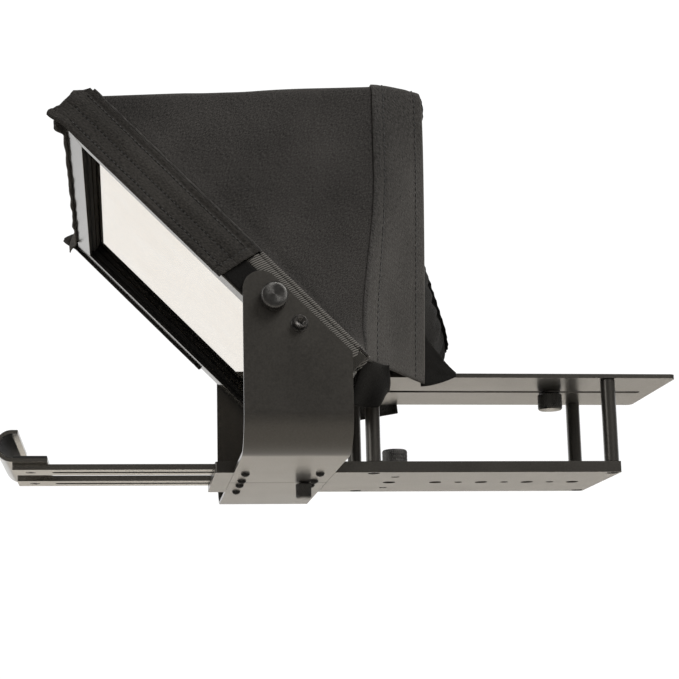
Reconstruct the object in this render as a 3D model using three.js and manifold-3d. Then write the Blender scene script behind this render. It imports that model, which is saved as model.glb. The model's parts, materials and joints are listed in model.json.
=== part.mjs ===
// Tablet teleprompter: base with camera plate, two L arms, tilting beam-splitter frame, fabric hood
// and sliding tablet tray. Millimetres, +Z up, -Y towards the person filmed, +Y towards the camera.
// The origin is the centre of the tripod hole at the underside of the base plate.
import * as THREE from 'three';
import Module from 'manifold-3d';
import { mergeVertices } from 'three/addons/utils/BufferGeometryUtils.js';
import { ConvexGeometry } from 'three/addons/geometries/ConvexGeometry.js';

const wasm = await Module();
wasm.setup();

// ---- driving dimensions -------------------------------------------------------------------------
const BASE_FRONT = -163;      // front end of the base plate
const BASE_REAR = 124;        // rear end of the base plate
const BASE_HALF = 51;         // half width of the base plate
const BASE_T = 7.8;           // base plate thickness
const GROOVE_FLOOR = 3.5;     // floor of the two tray grooves
const CHANNEL_TOP = 2.7;      // ceiling of the cross channel for the arm flanges
const HOLE_PITCH = 34;        // pitch of the large tripod holes
const BAR_X = 28;             // middle of each tray bar
const BAR_HALF = 13;          // half width of a tray bar
const BAR_Z0 = 3.7;           // underside of the tray bars
const BAR_Z1 = 7.7;           // top of the tray bars
const BAR_FRONT = -302;       // front end of the tray bars
const BAR_REAR = 5;           // rear end of the tray bars
const SLOT_R = 3.1;           // half width of the bar slots
const ROD_X = 46;             // standoffs either side of the middle
const ROD_Y = [-52.1, 118.5]; // front and rear standoffs
const ROD_R = 5.15;           // standoff radius
const PLATE_Z = 67.2;         // underside of the camera plate
const PLATE_T = 3;            // camera plate thickness
const PLATE_HALF = 52;        // half width of the camera plate
const PLATE_FRONT = -59.4;    // front end of the camera plate
const PLATE_REAR = 167;       // rear end of the camera plate
const ARM_OUT = 149.5;        // outer face of each arm
const ARM_T = 2.5;            // arm plate thickness
const ARM_BEND = 26;          // outer bend radius of an arm
const ARM_FRONT = -150;       // front edge of the arms
const ARM_REAR = -80;         // rear edge of the arms
const LOBE_Y = -138;          // middle of the arm's rounded top
const LOBE_Z = 105.1;
const LOBE_R = 12;
const FRAME_HALF = 144.5;     // half width of the glass frame
const FRAME_LEN = 246;        // sloping length of the glass frame
const FRAME_DEEP = 28;        // depth of the frame rails
const FRAME_FACE = 14;        // face width of the frame rails
const FRAME_Y = -263.6;       // top front edge of the frame
const FRAME_Z = 215.1;
const PIVOT_U = 200;          // pivot screws, down the rail from its top end
const LOCK_U = 176.5;         // lock knobs, down the rail
const SCREW_N = 12;           // both sit this far behind the frame's front face
const LEDGE_N = 7.6;          // ledge of the rails that the glass lies on
const GLASS_N = 7.8;          // front face of the glass
const GLASS_T = 3;            // glass thickness
const HOOK_HALF = 51;         // half width of the front hook
const HOOK_R = 11;            // outer radius of the hook
const HOOK_T = 2.5;           // hook strip thickness
const HOOK_Y = -301.7;        // middle of the hook's curve
const HOOK_Z = 18.9;
const HOOK_BACK = -277.4;     // rear end of the hook's foot
const LENS_Z = 137;           // height of the lens axis

// ---- materials ----------------------------------------------------------------------------------
const FINISH = {
  anodised: { color: 0x1b1b1c, metalness: 0.6, roughness: 0.45 },
  screws: { color: 0x111112, metalness: 0.7, roughness: 0.4 },
  knobs: { color: 0x232325, metalness: 0.7, roughness: 0.35 },
  rails: { color: 0x29292b, metalness: 0.6, roughness: 0.4 },
  fabric: { color: 0x1f1d1c, metalness: 0.0, roughness: 0.95 },
  webbing: { color: 0x161616, metalness: 0.0, roughness: 0.95 },
  rubber: { color: 0x101010, metalness: 0.0, roughness: 0.8 },
  glass: { color: 0xf0eadf, metalness: 0.0, roughness: 0.05 },
};

const group = new THREE.Group();
group.name = 'teleprompter';

// ---- solid helpers ------------------------------------------------------------------------------
function solid(geometry) {
  geometry.deleteAttribute('normal');
  geometry.deleteAttribute('uv');
  const merged = mergeVertices(geometry, 1e-5);
  const mesh = new wasm.Mesh({
    numProp: 3,
    vertProperties: new Float32Array(merged.attributes.position.array),
    triVerts: new Uint32Array(merged.index.array),
  });
  mesh.merge();
  return new wasm.Manifold(mesh);
}

function addNode(name, body, finish) {
  const out = body.getMesh();
  const geometry = new THREE.BufferGeometry();
  geometry.setAttribute('position', new THREE.BufferAttribute(new Float32Array(out.vertProperties), 3));
  geometry.setIndex(new THREE.BufferAttribute(new Uint32Array(out.triVerts), 1));
  geometry.computeVertexNormals();
  const mesh = new THREE.Mesh(geometry, new THREE.MeshStandardMaterial(FINISH[finish]));
  mesh.name = name;
  group.add(mesh);
}

function box(x0, x1, y0, y1, z0, z1) {
  const geometry = new THREE.BoxGeometry(x1 - x0, y1 - y0, z1 - z0);
  geometry.translate((x0 + x1) / 2, (y0 + y1) / 2, (z0 + z1) / 2);
  return solid(geometry);
}

// A cylinder from z0 to z1 about a vertical axis.
function rod(r, x, y, z0, z1, sides = 16) {
  const geometry = new THREE.CylinderGeometry(r, r, z1 - z0, sides);
  geometry.rotateX(Math.PI / 2);
  geometry.translate(x, y, (z0 + z1) / 2);
  return solid(geometry);
}

// A cylinder from x0 to x1 about an axis along X.
function rodX(r, x0, x1, y, z, sides = 16) {
  const geometry = new THREE.CylinderGeometry(r, r, x1 - x0, sides);
  geometry.rotateZ(Math.PI / 2);
  geometry.translate((x0 + x1) / 2, y, z);
  return solid(geometry);
}

// A flat shape drawn in X and Y, made solid from z0 to z1.
function slab(shape, z0, z1, curveSegments = 8) {
  const geometry = new THREE.ExtrudeGeometry(shape, { depth: z1 - z0, bevelEnabled: false, curveSegments });
  geometry.translate(0, 0, z0);
  return solid(geometry);
}

// A flat shape drawn in Y and Z, made solid from x0 to x1.
function slabX(shape, x0, x1, curveSegments = 8) {
  const geometry = new THREE.ExtrudeGeometry(shape, { depth: x1 - x0, bevelEnabled: false, curveSegments });
  const toRow = new THREE.Matrix4().makeBasis(
    new THREE.Vector3(0, 1, 0),
    new THREE.Vector3(0, 0, 1),
    new THREE.Vector3(1, 0, 0),
  );
  toRow.setPosition(x0, 0, 0);
  geometry.applyMatrix4(toRow);
  return solid(geometry);
}

function roundedPlan(x0, x1, y0, y1, r) {
  const s = new THREE.Shape();
  s.moveTo(x0 + r, y0);
  s.lineTo(x1 - r, y0);
  s.absarc(x1 - r, y0 + r, r, -Math.PI / 2, 0, false);
  s.lineTo(x1, y1 - r);
  s.absarc(x1 - r, y1 - r, r, 0, Math.PI / 2, false);
  s.lineTo(x0 + r, y1);
  s.absarc(x0 + r, y1 - r, r, Math.PI / 2, Math.PI, false);
  s.lineTo(x0, y0 + r);
  s.absarc(x0 + r, y0 + r, r, Math.PI, 1.5 * Math.PI, false);
  return s;
}

// A slot along Y with round ends.
function slotPlan(x, y0, y1, r) {
  const s = new THREE.Shape();
  s.moveTo(x + r, y0 + r);
  s.lineTo(x + r, y1 - r);
  s.absarc(x, y1 - r, r, 0, Math.PI, false);
  s.lineTo(x - r, y0 + r);
  s.absarc(x, y0 + r, r, Math.PI, 2 * Math.PI, false);
  return s;
}

function hexHole(r, x, y, z0, z1) {
  return rod(r, x, y, z0, z1, 6);
}

// ---- base ---------------------------------------------------------------------------------------
function basePlate() {
  let body = slab(roundedPlan(-BASE_HALF, BASE_HALF, BASE_FRONT, BASE_REAR, 1.5), 0, BASE_T, 4);
  const grooveHalf = BAR_HALF + 0.2;
  for (const side of [-1, 1]) {
    const x = side * BAR_X;
    const groove = box(x - grooveHalf, x + grooveHalf, BASE_FRONT - 5, BASE_REAR + 5, GROOVE_FLOOR, BASE_T + 5);
    body = body.subtract(groove);
    body = body.subtract(rod(3, x, -HOLE_PITCH, -5, 10));
  }
  body = body.subtract(box(-60, 60, ARM_FRONT - 0.2, ARM_REAR + 0.2, -5, CHANNEL_TOP));
  for (let i = -1; i <= 3; i += 1) {
    body = body.subtract(rod(4.6, 0, i * HOLE_PITCH, -5, 10, 20));
  }
  for (const y of [0.5, 1.5, 2.5]) {
    body = body.subtract(rod(2.9, 0, y * HOLE_PITCH, -5, 10));
  }
  for (const x of [-ROD_X, ROD_X]) {
    for (const y of ROD_Y) {
      body = body.subtract(rod(4.2, x, y, -5, 3.1));
      body = body.subtract(rod(2.2, x, y, -5, 10, 10));
    }
  }
  for (const [x, y] of flangeScrewSpots()) {
    body = body.subtract(rod(1.8, x, y, 0, 7, 8));
  }
  return body.subtract(rod(2.8, 0, -96.5, 0, 6, 12));
}

function flangeScrewSpots() {
  const spots = [];
  for (const x of [-47, -11, 11, 47]) {
    for (const y of [-142, -90]) spots.push([x, y]);
  }
  return spots;
}

function cameraPlate() {
  const z1 = PLATE_Z + PLATE_T;
  let body = slab(roundedPlan(-PLATE_HALF, PLATE_HALF, PLATE_FRONT, PLATE_REAR, 4.5), PLATE_Z, z1, 6);
  body = body.subtract(slab(slotPlan(0, -45, PLATE_REAR - 10, 3.25), PLATE_Z - 1, z1 + 1, 8));
  for (const x of [-ROD_X, ROD_X]) {
    for (const y of ROD_Y) {
      body = body.subtract(rod(4.2, x, y, z1 - 1.7, z1 + 1));
      body = body.subtract(rod(2.2, x, y, PLATE_Z - 1, z1 + 1, 10));
    }
  }
  return body;
}

function standoff(x, y) {
  let body = rod(ROD_R, x, y, BASE_T + 0.2, PLATE_Z - 0.2, 24);
  body = body.subtract(rod(2.2, x, y, 0, 22, 10));
  body = body.subtract(rod(2.2, x, y, 54, 70, 10));
  return body;
}

// A screw under the base, its head sunk in a counterbore, with a hexagon socket.
function baseScrew(x, y) {
  const body = rod(4, x, y, 0.5, 2.9).add(rod(1.9, x, y, 2.8, 20, 10));
  return body.subtract(hexHole(1.8, x, y, -1, 1.9));
}

function plateScrew(x, y) {
  const z1 = PLATE_Z + PLATE_T;
  const body = rod(4, x, y, z1 - 1.5, z1 - 0.1).add(rod(1.9, x, y, 57, z1 - 1.4, 10));
  return body.subtract(hexHole(1.8, x, y, z1 - 0.9, z1 + 1));
}

function flangeScrew(x, y) {
  const body = rod(3.1, x, y, -2.3, -0.15).add(rod(1.5, x, y, -0.3, 6.6, 8));
  return body.subtract(hexHole(1.3, x, y, -3, -1.1));
}

// ---- arms ---------------------------------------------------------------------------------------
function armProfile() {
  const inner = ARM_OUT - ARM_T;
  const flat = ARM_OUT - ARM_BEND;
  const s = new THREE.Shape();
  s.moveTo(0.5, 0);
  s.lineTo(flat, 0);
  s.absarc(flat, ARM_BEND, ARM_BEND, -Math.PI / 2, 0, false);
  s.lineTo(ARM_OUT, 125);
  s.lineTo(inner, 125);
  s.lineTo(inner, ARM_BEND);
  s.absarc(flat, ARM_BEND, ARM_BEND - ARM_T, 0, -Math.PI / 2, true);
  s.lineTo(0.5, ARM_T);
  s.closePath();
  return s;
}

function armOutline() {
  const s = new THREE.Shape();
  const reach = (LOBE_Y + LOBE_R / Math.SQRT2) - ARM_REAR;
  s.moveTo(ARM_FRONT, -1);
  s.lineTo(ARM_REAR, -1);
  s.lineTo(ARM_REAR, LOBE_Z + LOBE_R / Math.SQRT2 + reach);
  s.absarc(LOBE_Y, LOBE_Z, LOBE_R, Math.PI / 4, Math.PI, false);
  s.closePath();
  return s;
}

function arm(side) {
  const bent = new THREE.ExtrudeGeometry(armProfile(), { depth: 80, bevelEnabled: false, curveSegments: 12 });
  const toRow = new THREE.Matrix4().makeBasis(
    new THREE.Vector3(1, 0, 0),
    new THREE.Vector3(0, 0, 1),
    new THREE.Vector3(0, -1, 0),
  );
  toRow.setPosition(0, -75, 0);
  bent.applyMatrix4(toRow);
  let body = solid(bent).intersect(slabX(armOutline(), -1, 160, 10));
  const pivot = railPoint(PIVOT_U, SCREW_N);
  const lock = railPoint(LOCK_U, SCREW_N);
  body = body.subtract(rodX(2.6, 140, 155, pivot.y, pivot.z, 24));
  body = body.subtract(rodX(3.1, 140, 155, lock.y, lock.z, 16));
  for (const [x, y] of flangeScrewSpots()) {
    if (x > 0) body = body.subtract(rod(1.8, x, y, -2, 5, 8));
  }
  body = body.subtract(rod(2.8, 0, -96.5, -2, 5, 12));
  return side < 0 ? body.mirror([1, 0, 0]) : body;
}

// ---- tilting frame ------------------------------------------------------------------------------
const DOWN = new THREE.Vector3(0, 1, -1).normalize();
const BACK = new THREE.Vector3(0, 1, 1).normalize();

function railPoint(u, n) {
  const p = new THREE.Vector3(0, FRAME_Y, FRAME_Z);
  p.addScaledVector(DOWN, u);
  p.addScaledVector(BACK, n);
  return p;
}

// The frame's own space: X across, Y down the slope, Z back through its depth.
function tilt(body) {
  const m = new THREE.Matrix4().makeBasis(new THREE.Vector3(1, 0, 0), DOWN, BACK);
  m.setPosition(0, FRAME_Y, FRAME_Z);
  return body.transform(m.elements);
}

function railSection() {
  const s = new THREE.Shape();
  s.moveTo(0, 0);
  s.lineTo(FRAME_FACE, 0);
  s.lineTo(FRAME_FACE, 2.6);
  s.lineTo(FRAME_FACE - 1.2, 2.6);
  s.lineTo(FRAME_FACE - 1.2, 4.8);
  s.lineTo(FRAME_FACE, 4.8);
  s.lineTo(FRAME_FACE, LEDGE_N);
  s.lineTo(FRAME_FACE - 6, LEDGE_N);
  s.lineTo(FRAME_FACE - 6, FRAME_DEEP);
  s.lineTo(0, FRAME_DEEP);
  s.closePath();
  return s;
}

// A mitred rail of the given length, along X from 0, face width along +Y, depth along +Z.
function mitredRail(length) {
  const geometry = new THREE.ExtrudeGeometry(railSection(), { depth: length, bevelEnabled: false });
  const lie = new THREE.Matrix4().makeBasis(
    new THREE.Vector3(0, 1, 0),
    new THREE.Vector3(0, 0, 1),
    new THREE.Vector3(1, 0, 0),
  );
  geometry.applyMatrix4(lie);
  const gap = 0.12;
  const wedge = new THREE.Shape();
  wedge.moveTo(gap - 1, -1);
  wedge.lineTo(length - gap + 1, -1);
  wedge.lineTo(length - gap - FRAME_FACE - 1, FRAME_FACE + 1);
  wedge.lineTo(gap + FRAME_FACE + 1, FRAME_FACE + 1);
  wedge.closePath();
  return solid(geometry).intersect(slab(wedge, -1, FRAME_DEEP + 1));
}

function placeRail(body, along, inward, x, u) {
  const m = new THREE.Matrix4().makeBasis(along, inward, new THREE.Vector3(0, 0, 1));
  m.setPosition(x, u, 0);
  return tilt(body.transform(m.elements));
}

function crossRail(top) {
  const body = mitredRail(2 * FRAME_HALF);
  const s = top ? 1 : -1;
  const along = new THREE.Vector3(s, 0, 0);
  const inward = new THREE.Vector3(0, s, 0);
  return placeRail(body, along, inward, -s * FRAME_HALF, top ? 0 : FRAME_LEN);
}

function sideRail(side) {
  const along = new THREE.Vector3(0, side, 0);
  const inward = new THREE.Vector3(-side, 0, 0);
  const body = placeRail(mitredRail(FRAME_LEN), along, inward, side * FRAME_HALF, side > 0 ? 0 : FRAME_LEN);
  const pivot = railPoint(PIVOT_U, SCREW_N);
  const x0 = side > 0 ? FRAME_HALF - 9 : -FRAME_HALF - 5;
  return body.subtract(rodX(2.6, x0, x0 + 14, pivot.y, pivot.z, 24));
}

function pane(inset, n0, n1) {
  return tilt(box(-FRAME_HALF + inset, FRAME_HALF - inset, inset, FRAME_LEN - inset, n0, n1));
}

function glassRetainer() {
  const outer = pane(FRAME_FACE - 5.7, GLASS_N + GLASS_T + 0.3, GLASS_N + GLASS_T + 4);
  return outer.subtract(pane(FRAME_FACE - 0.5, 10, 30));
}

function pivotScrew(side) {
  const p = railPoint(PIVOT_U, SCREW_N);
  const head = rodX(4.25, ARM_OUT + 1.4, ARM_OUT + 6.2, p.y, p.z, 24);
  const shank = rodX(2.5, FRAME_HALF - 7.5, ARM_OUT + 2, p.y, p.z, 24);
  const socket = rodX(2.3, ARM_OUT + 3.4, ARM_OUT + 8, p.y, p.z, 6);
  const body = head.add(shank).subtract(socket);
  return side < 0 ? body.mirror([1, 0, 0]) : body;
}

function pivotWasher(side, x0, x1, r) {
  const p = railPoint(PIVOT_U, SCREW_N);
  const body = rodX(r, x0, x1, p.y, p.z, 24).subtract(rodX(2.6, x0 - 1, x1 + 1, p.y, p.z, 24));
  return side < 0 ? body.mirror([1, 0, 0]) : body;
}

// ---- knobs --------------------------------------------------------------------------------------
// A round head from z = 0 to its height, with a stepped collar, a chamfered top and a stud below it.
function thumbKnob(r, height, studR, studLength) {
  const profile = [
    new THREE.Vector2(0, -studLength),
    new THREE.Vector2(studR, -studLength),
    new THREE.Vector2(studR, 0),
    new THREE.Vector2(r - 1, 0),
    new THREE.Vector2(r, 1),
    new THREE.Vector2(r, height - 0.9),
    new THREE.Vector2(r - 0.9, height),
    new THREE.Vector2(0, height),
  ];
  const geometry = new THREE.LatheGeometry(profile, 24);
  geometry.rotateX(Math.PI / 2);
  return solid(geometry);
}

function placeKnob(body, axis, x, y, z) {
  const turn = new THREE.Quaternion().setFromUnitVectors(new THREE.Vector3(0, 0, 1), axis);
  const m = new THREE.Matrix4().compose(new THREE.Vector3(x, y, z), turn, new THREE.Vector3(1, 1, 1));
  return body.transform(m.elements);
}

function lockKnob(side) {
  const p = railPoint(LOCK_U, SCREW_N);
  const body = thumbKnob(8.9, 10, 3, 3.1);
  return placeKnob(body, new THREE.Vector3(side, 0, 0), side * (ARM_OUT + 0.3), p.y, p.z);
}

function trayKnob(side) {
  const body = thumbKnob(9, 11, 2.8, 7.8);
  return placeKnob(body, new THREE.Vector3(0, 0, 1), side * BAR_X, -HOLE_PITCH, BASE_T + 0.3);
}

function seamKnob() {
  const body = thumbKnob(5.8, 11, 2.5, 5.6);
  return placeKnob(body, new THREE.Vector3(0, 0, -1), 0, -96.5, -0.4);
}

const CAMERA_Y = 88.3;

function cameraKnob() {
  const knob = thumbKnob(9, 12, 3.1, 10.4);
  return placeKnob(knob, new THREE.Vector3(0, 0, -1), 0, CAMERA_Y, PLATE_Z - 1.6);
}

function cameraWasher() {
  return rod(8, 0, CAMERA_Y, PLATE_Z - 1.3, PLATE_Z - 0.2, 24).subtract(rod(3.3, 0, CAMERA_Y, 60, 70, 24));
}

// ---- tablet tray --------------------------------------------------------------------------------
function trayBar(side) {
  const x = side * BAR_X;
  let body = slab(roundedPlan(x - BAR_HALF, x + BAR_HALF, BAR_FRONT, BAR_REAR, 0.8), BAR_Z0, BAR_Z1, 3);
  body = body.subtract(slab(slotPlan(x, -275.3, -4, SLOT_R), 0, 12, 8));
  body = body.subtract(rod(3.6, x, -290, 0, 6));
  return body.subtract(rod(2.1, x, -290, 0, 12, 10));
}

function hookProfile() {
  const s = new THREE.Shape();
  s.moveTo(HOOK_BACK, HOOK_Z - HOOK_R);
  s.lineTo(HOOK_BACK, HOOK_Z - HOOK_R + HOOK_T);
  s.lineTo(HOOK_Y, HOOK_Z - HOOK_R + HOOK_T);
  s.absarc(HOOK_Y, HOOK_Z, HOOK_R - HOOK_T, -Math.PI / 2, -1.5 * Math.PI, true);
  s.lineTo(HOOK_Y + 4, HOOK_Z + HOOK_R - HOOK_T);
  s.lineTo(HOOK_Y + 4, HOOK_Z + HOOK_R);
  s.lineTo(HOOK_Y, HOOK_Z + HOOK_R);
  s.absarc(HOOK_Y, HOOK_Z, HOOK_R, Math.PI / 2, 1.5 * Math.PI, false);
  s.closePath();
  return s;
}

function frontHook() {
  let body = slabX(hookProfile(), -HOOK_HALF, HOOK_HALF, 14);
  for (const side of [-1, 1]) {
    body = body.subtract(rod(2.1, side * BAR_X, -290, 0, 12, 10));
  }
  return body;
}

function hookPad() {
  const z = HOOK_Z - HOOK_R + HOOK_T;
  return box(-HOOK_HALF + 1, HOOK_HALF - 1, -301, HOOK_BACK - 0.4, z + 0.2, z + 1.8);
}

function hookScrew(side) {
  const x = side * BAR_X;
  const body = rod(3.4, x, -290, BAR_Z0 + 0.2, 5.8).add(rod(1.9, x, -290, 5.7, 10.3, 10));
  return body.subtract(hexHole(1.5, x, -290, 0, 4.9));
}

// ---- hood ---------------------------------------------------------------------------------------
function hull(points) {
  const all = [];
  for (const [x, y, z] of points) {
    all.push(new THREE.Vector3(x, y, z));
    all.push(new THREE.Vector3(-x, y, z));
  }
  return solid(new ConvexGeometry(all));
}

// A flat cloth panel with rounded edges between the given corners.
function clothPanel(corners) {
  const ball = new THREE.IcosahedronGeometry(1, 0).attributes.position;
  const all = [];
  for (const [x, y, z] of corners) {
    for (let i = 0; i < ball.count; i += 1) {
      all.push(new THREE.Vector3(x + ball.getX(i), y + ball.getY(i), z + ball.getZ(i)));
    }
  }
  return solid(new ConvexGeometry(all));
}

const FRAME_TOP = [143.5, -242.2, 235.1];
const FRAME_FOOT = [143.5, -69.6, 62.6];
const SEAM_TOP = [132, -50, 251.8];
const SEAM_FOOT = [130, -67.5, 62.2];
const REAR_TOP = [110, -23.4, 251.8];
const REAR_FOOT = [56, -14.4, 62.2];

// Top, sides and turned-in rear bands of the hood, open at the frame, underneath and at the rear.
function hoodShell() {
  const flip = ([x, y, z]) => [-x, y, z];
  let body = clothPanel([FRAME_TOP, flip(FRAME_TOP), SEAM_TOP, flip(SEAM_TOP)]);
  body = body.add(clothPanel([SEAM_TOP, flip(SEAM_TOP), REAR_TOP, flip(REAR_TOP)]));
  const panels = [
    [FRAME_TOP, FRAME_FOOT, SEAM_TOP],
    [FRAME_FOOT, SEAM_FOOT, SEAM_TOP],
    [SEAM_FOOT, REAR_TOP, SEAM_TOP],
    [SEAM_FOOT, REAR_FOOT, REAR_TOP],
  ];
  for (const panel of panels) {
    body = body.add(clothPanel(panel)).add(clothPanel(panel.map(flip)));
  }
  return body;
}

// The rear panel, with a round hole for the lens and a notch over the camera plate.
function hoodRearPanel() {
  const panel = hull([
    [107.4, -22.9, 250.4],
    [107.8, -24.4, 250.4],
    [54.8, -14.6, 66],
    [55.6, -16.1, 66],
  ]);
  const lens = new THREE.CylinderGeometry(60.6, 60.6, 40, 36);
  lens.translate(0, -18, LENS_Z);
  return panel.subtract(solid(lens)).subtract(box(-70, 70, -40, 10, 50, 73));
}

// The elastic sleeve that closes round the lens. It is slack below, so its end reaches further back there.
function lensSleeve() {
  const profile = [
    new THREE.Vector2(58.4, -22.5),
    new THREE.Vector2(60, -22.5),
    new THREE.Vector2(60, -14.5),
    new THREE.Vector2(50, -7.2),
    new THREE.Vector2(40, 0),
    new THREE.Vector2(38, 0),
    new THREE.Vector2(48.4, -8.2),
    new THREE.Vector2(58.4, -15.5),
    new THREE.Vector2(58.4, -22.5),
  ];
  const geometry = new THREE.LatheGeometry(profile, 36);
  const point = new THREE.Vector3();
  const position = geometry.attributes.position;
  for (let i = 0; i < position.count; i += 1) {
    point.fromBufferAttribute(position, i);
    const drawnIn = THREE.MathUtils.clamp((60 - Math.hypot(point.x, point.z)) / 22, 0, 1);
    const low = (1 - point.z / 60) / 2;
    position.setY(i, point.y + drawnIn * (22 * low * low - 13));
  }
  geometry.translate(0, 0, LENS_Z);
  return solid(geometry);
}

function hoodFlap(side) {
  const x0 = side > 0 ? FRAME_HALF + 0.3 : -FRAME_HALF - 2.1;
  return tilt(box(x0, x0 + 1.8, 0, 148, -0.5, FRAME_DEEP));
}

function hoodBand(side) {
  const x0 = side > 0 ? FRAME_HALF + 0.3 : -FRAME_HALF - 2.1;
  return tilt(box(x0, x0 + 1.8, 148.4, FRAME_LEN, 19.2, FRAME_DEEP));
}

function hoodTopFlap() {
  return tilt(box(-FRAME_HALF - 2.1, FRAME_HALF + 2.1, -2.2, -0.3, -3, FRAME_DEEP));
}

// ---- assembly -----------------------------------------------------------------------------------
addNode('base_plate', basePlate(), 'anodised');
addNode('camera_plate', cameraPlate(), 'anodised');
const SIDES = [['left', -1], ['right', 1]];
const ENDS = [['front', ROD_Y[0]], ['rear', ROD_Y[1]]];
for (const [sideName, side] of SIDES) {
  for (const [endName, y] of ENDS) {
    addNode(`standoff_${endName}_${sideName}`, standoff(side * ROD_X, y), 'anodised');
    addNode(`base_screw_${endName}_${sideName}`, baseScrew(side * ROD_X, y), 'screws');
    addNode(`plate_screw_${endName}_${sideName}`, plateScrew(side * ROD_X, y), 'screws');
  }
  addNode(`arm_${sideName}`, arm(side), 'anodised');
  addNode(`pivot_screw_${sideName}`, pivotScrew(side), 'screws');
  addNode(`pivot_washer_${sideName}`, pivotWasher(side, ARM_OUT + 0.2, ARM_OUT + 1.2, 5.6), 'screws');
  addNode(`pivot_spacer_${sideName}`, pivotWasher(side, FRAME_HALF + 0.2, ARM_OUT - ARM_T - 0.2, 5.4), 'screws');
  addNode(`lock_knob_${sideName}`, lockKnob(side), 'knobs');
  addNode(`tray_knob_${sideName}`, trayKnob(side), 'knobs');
  addNode(`tray_bar_${sideName}`, trayBar(side), 'anodised');
  addNode(`hook_screw_${sideName}`, hookScrew(side), 'screws');
  addNode(`frame_rail_${sideName}`, sideRail(side), 'rails');
  addNode(`hood_flap_${sideName}`, hoodFlap(side), 'webbing');
  addNode(`hood_band_${sideName}`, hoodBand(side), 'webbing');
}
flangeScrewSpots().forEach(([x, y], i) => {
  addNode(`flange_screw_${i + 1}`, flangeScrew(x, y), 'screws');
});
addNode('seam_knob', seamKnob(), 'knobs');
addNode('camera_knob', cameraKnob(), 'knobs');
addNode('camera_washer', cameraWasher(), 'screws');
addNode('front_hook', frontHook(), 'anodised');
addNode('hook_pad', hookPad(), 'rubber');
addNode('frame_rail_top', crossRail(true), 'rails');
addNode('frame_rail_bottom', crossRail(false), 'rails');
addNode('beam_splitter_glass', pane(FRAME_FACE - 5.7, GLASS_N, GLASS_N + GLASS_T), 'glass');
addNode('glass_retainer', glassRetainer(), 'rails');
addNode('hood_flap_top', hoodTopFlap(), 'webbing');
addNode('hood_shell', hoodShell(), 'fabric');
addNode('hood_rear_panel', hoodRearPanel(), 'fabric');
addNode('hood_lens_sleeve', lensSleeve(), 'fabric');

export default group;
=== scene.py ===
"""Tablet teleprompter: the looks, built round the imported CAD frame.

Lengths are in millimetres until mesh() writes them in metres. The frame's own directions are u, down
its slope, and n, back through its depth.
"""
import json
import math

import bpy
import numpy as np
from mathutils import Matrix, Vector, noise


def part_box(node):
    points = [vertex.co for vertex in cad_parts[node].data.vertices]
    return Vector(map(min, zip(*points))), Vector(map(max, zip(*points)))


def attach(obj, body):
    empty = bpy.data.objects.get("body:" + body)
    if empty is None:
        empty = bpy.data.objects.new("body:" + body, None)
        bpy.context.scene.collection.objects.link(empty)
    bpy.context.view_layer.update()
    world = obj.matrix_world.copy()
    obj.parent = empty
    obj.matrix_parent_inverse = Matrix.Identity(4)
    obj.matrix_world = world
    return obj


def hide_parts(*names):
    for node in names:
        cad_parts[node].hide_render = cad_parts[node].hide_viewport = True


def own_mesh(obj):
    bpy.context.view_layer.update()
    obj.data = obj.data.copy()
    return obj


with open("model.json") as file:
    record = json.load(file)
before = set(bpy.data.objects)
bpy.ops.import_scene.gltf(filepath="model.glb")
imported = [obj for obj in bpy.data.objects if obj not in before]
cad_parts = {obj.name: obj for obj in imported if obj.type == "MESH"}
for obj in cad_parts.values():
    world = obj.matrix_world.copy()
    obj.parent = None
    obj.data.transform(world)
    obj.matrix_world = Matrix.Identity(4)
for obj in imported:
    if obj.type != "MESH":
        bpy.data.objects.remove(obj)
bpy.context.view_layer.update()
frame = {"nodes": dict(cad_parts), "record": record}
MM = 0.001
ROOT2 = math.sqrt(2)

# ---- places taken from the CAD frame ------------------------------------------------------------


def box_mm(node):
    low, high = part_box(node)
    return np.array(low) / MM, np.array(high) / MM


RAIL_LOW, RAIL_HIGH = box_mm("frame_rail_right")
FRAME_DEEP = 28.0
FRAME_LEN = 246.0
FRAME_HALF = RAIL_HIGH[0]
FRAME_Y = RAIL_LOW[1]
FRAME_Z = RAIL_HIGH[2] - FRAME_DEEP / ROOT2
LENS_Z = 137.0
RIB = 1.5                    # one rib of the knitted elastic
RIB_SLANT = 0.35
SHARP = math.radians(32)    # edges above this angle stay sharp


def rail(u, n, x=0.0):
    """The row-frame point u down the slope and n behind the front face of the glass frame."""
    return np.array([x, FRAME_Y + (u + n) / ROOT2, FRAME_Z + (n - u) / ROOT2])


def smooth(t):
    t = min(max(t, 0.0), 1.0)
    return t * t * (3 - 2 * t)


def mix(a, b, t):
    return a + (b - a) * t


def ridge(at, centre, width):
    return math.exp(-((at - centre) / width) ** 2)


# ---- mesh helpers -------------------------------------------------------------------------------


def mesh(name, verts, faces, material, uvs=None):
    data = bpy.data.meshes.new(name)
    data.from_pydata([tuple(float(c) * MM for c in v) for v in verts], [], faces)
    data.update()
    if uvs is not None:
        layer = data.uv_layers.new(name="weave")
        flat = [uvs[v] for face in faces for v in face]
        layer.data.foreach_set("uv", np.array(flat, np.float32).ravel())
    data.shade_smooth()
    obj = bpy.data.objects.new(name, data)
    bpy.context.scene.collection.objects.link(obj)
    obj.data.materials.append(material)
    return obj


def grid_faces(rows, cols, wrap=False):
    faces = []
    last = cols if wrap else cols - 1
    for i in range(rows - 1):
        for j in range(last):
            k = (j + 1) % cols
            faces.append((i * cols + j, i * cols + k, (i + 1) * cols + k, (i + 1) * cols + j))
    return faces


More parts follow.
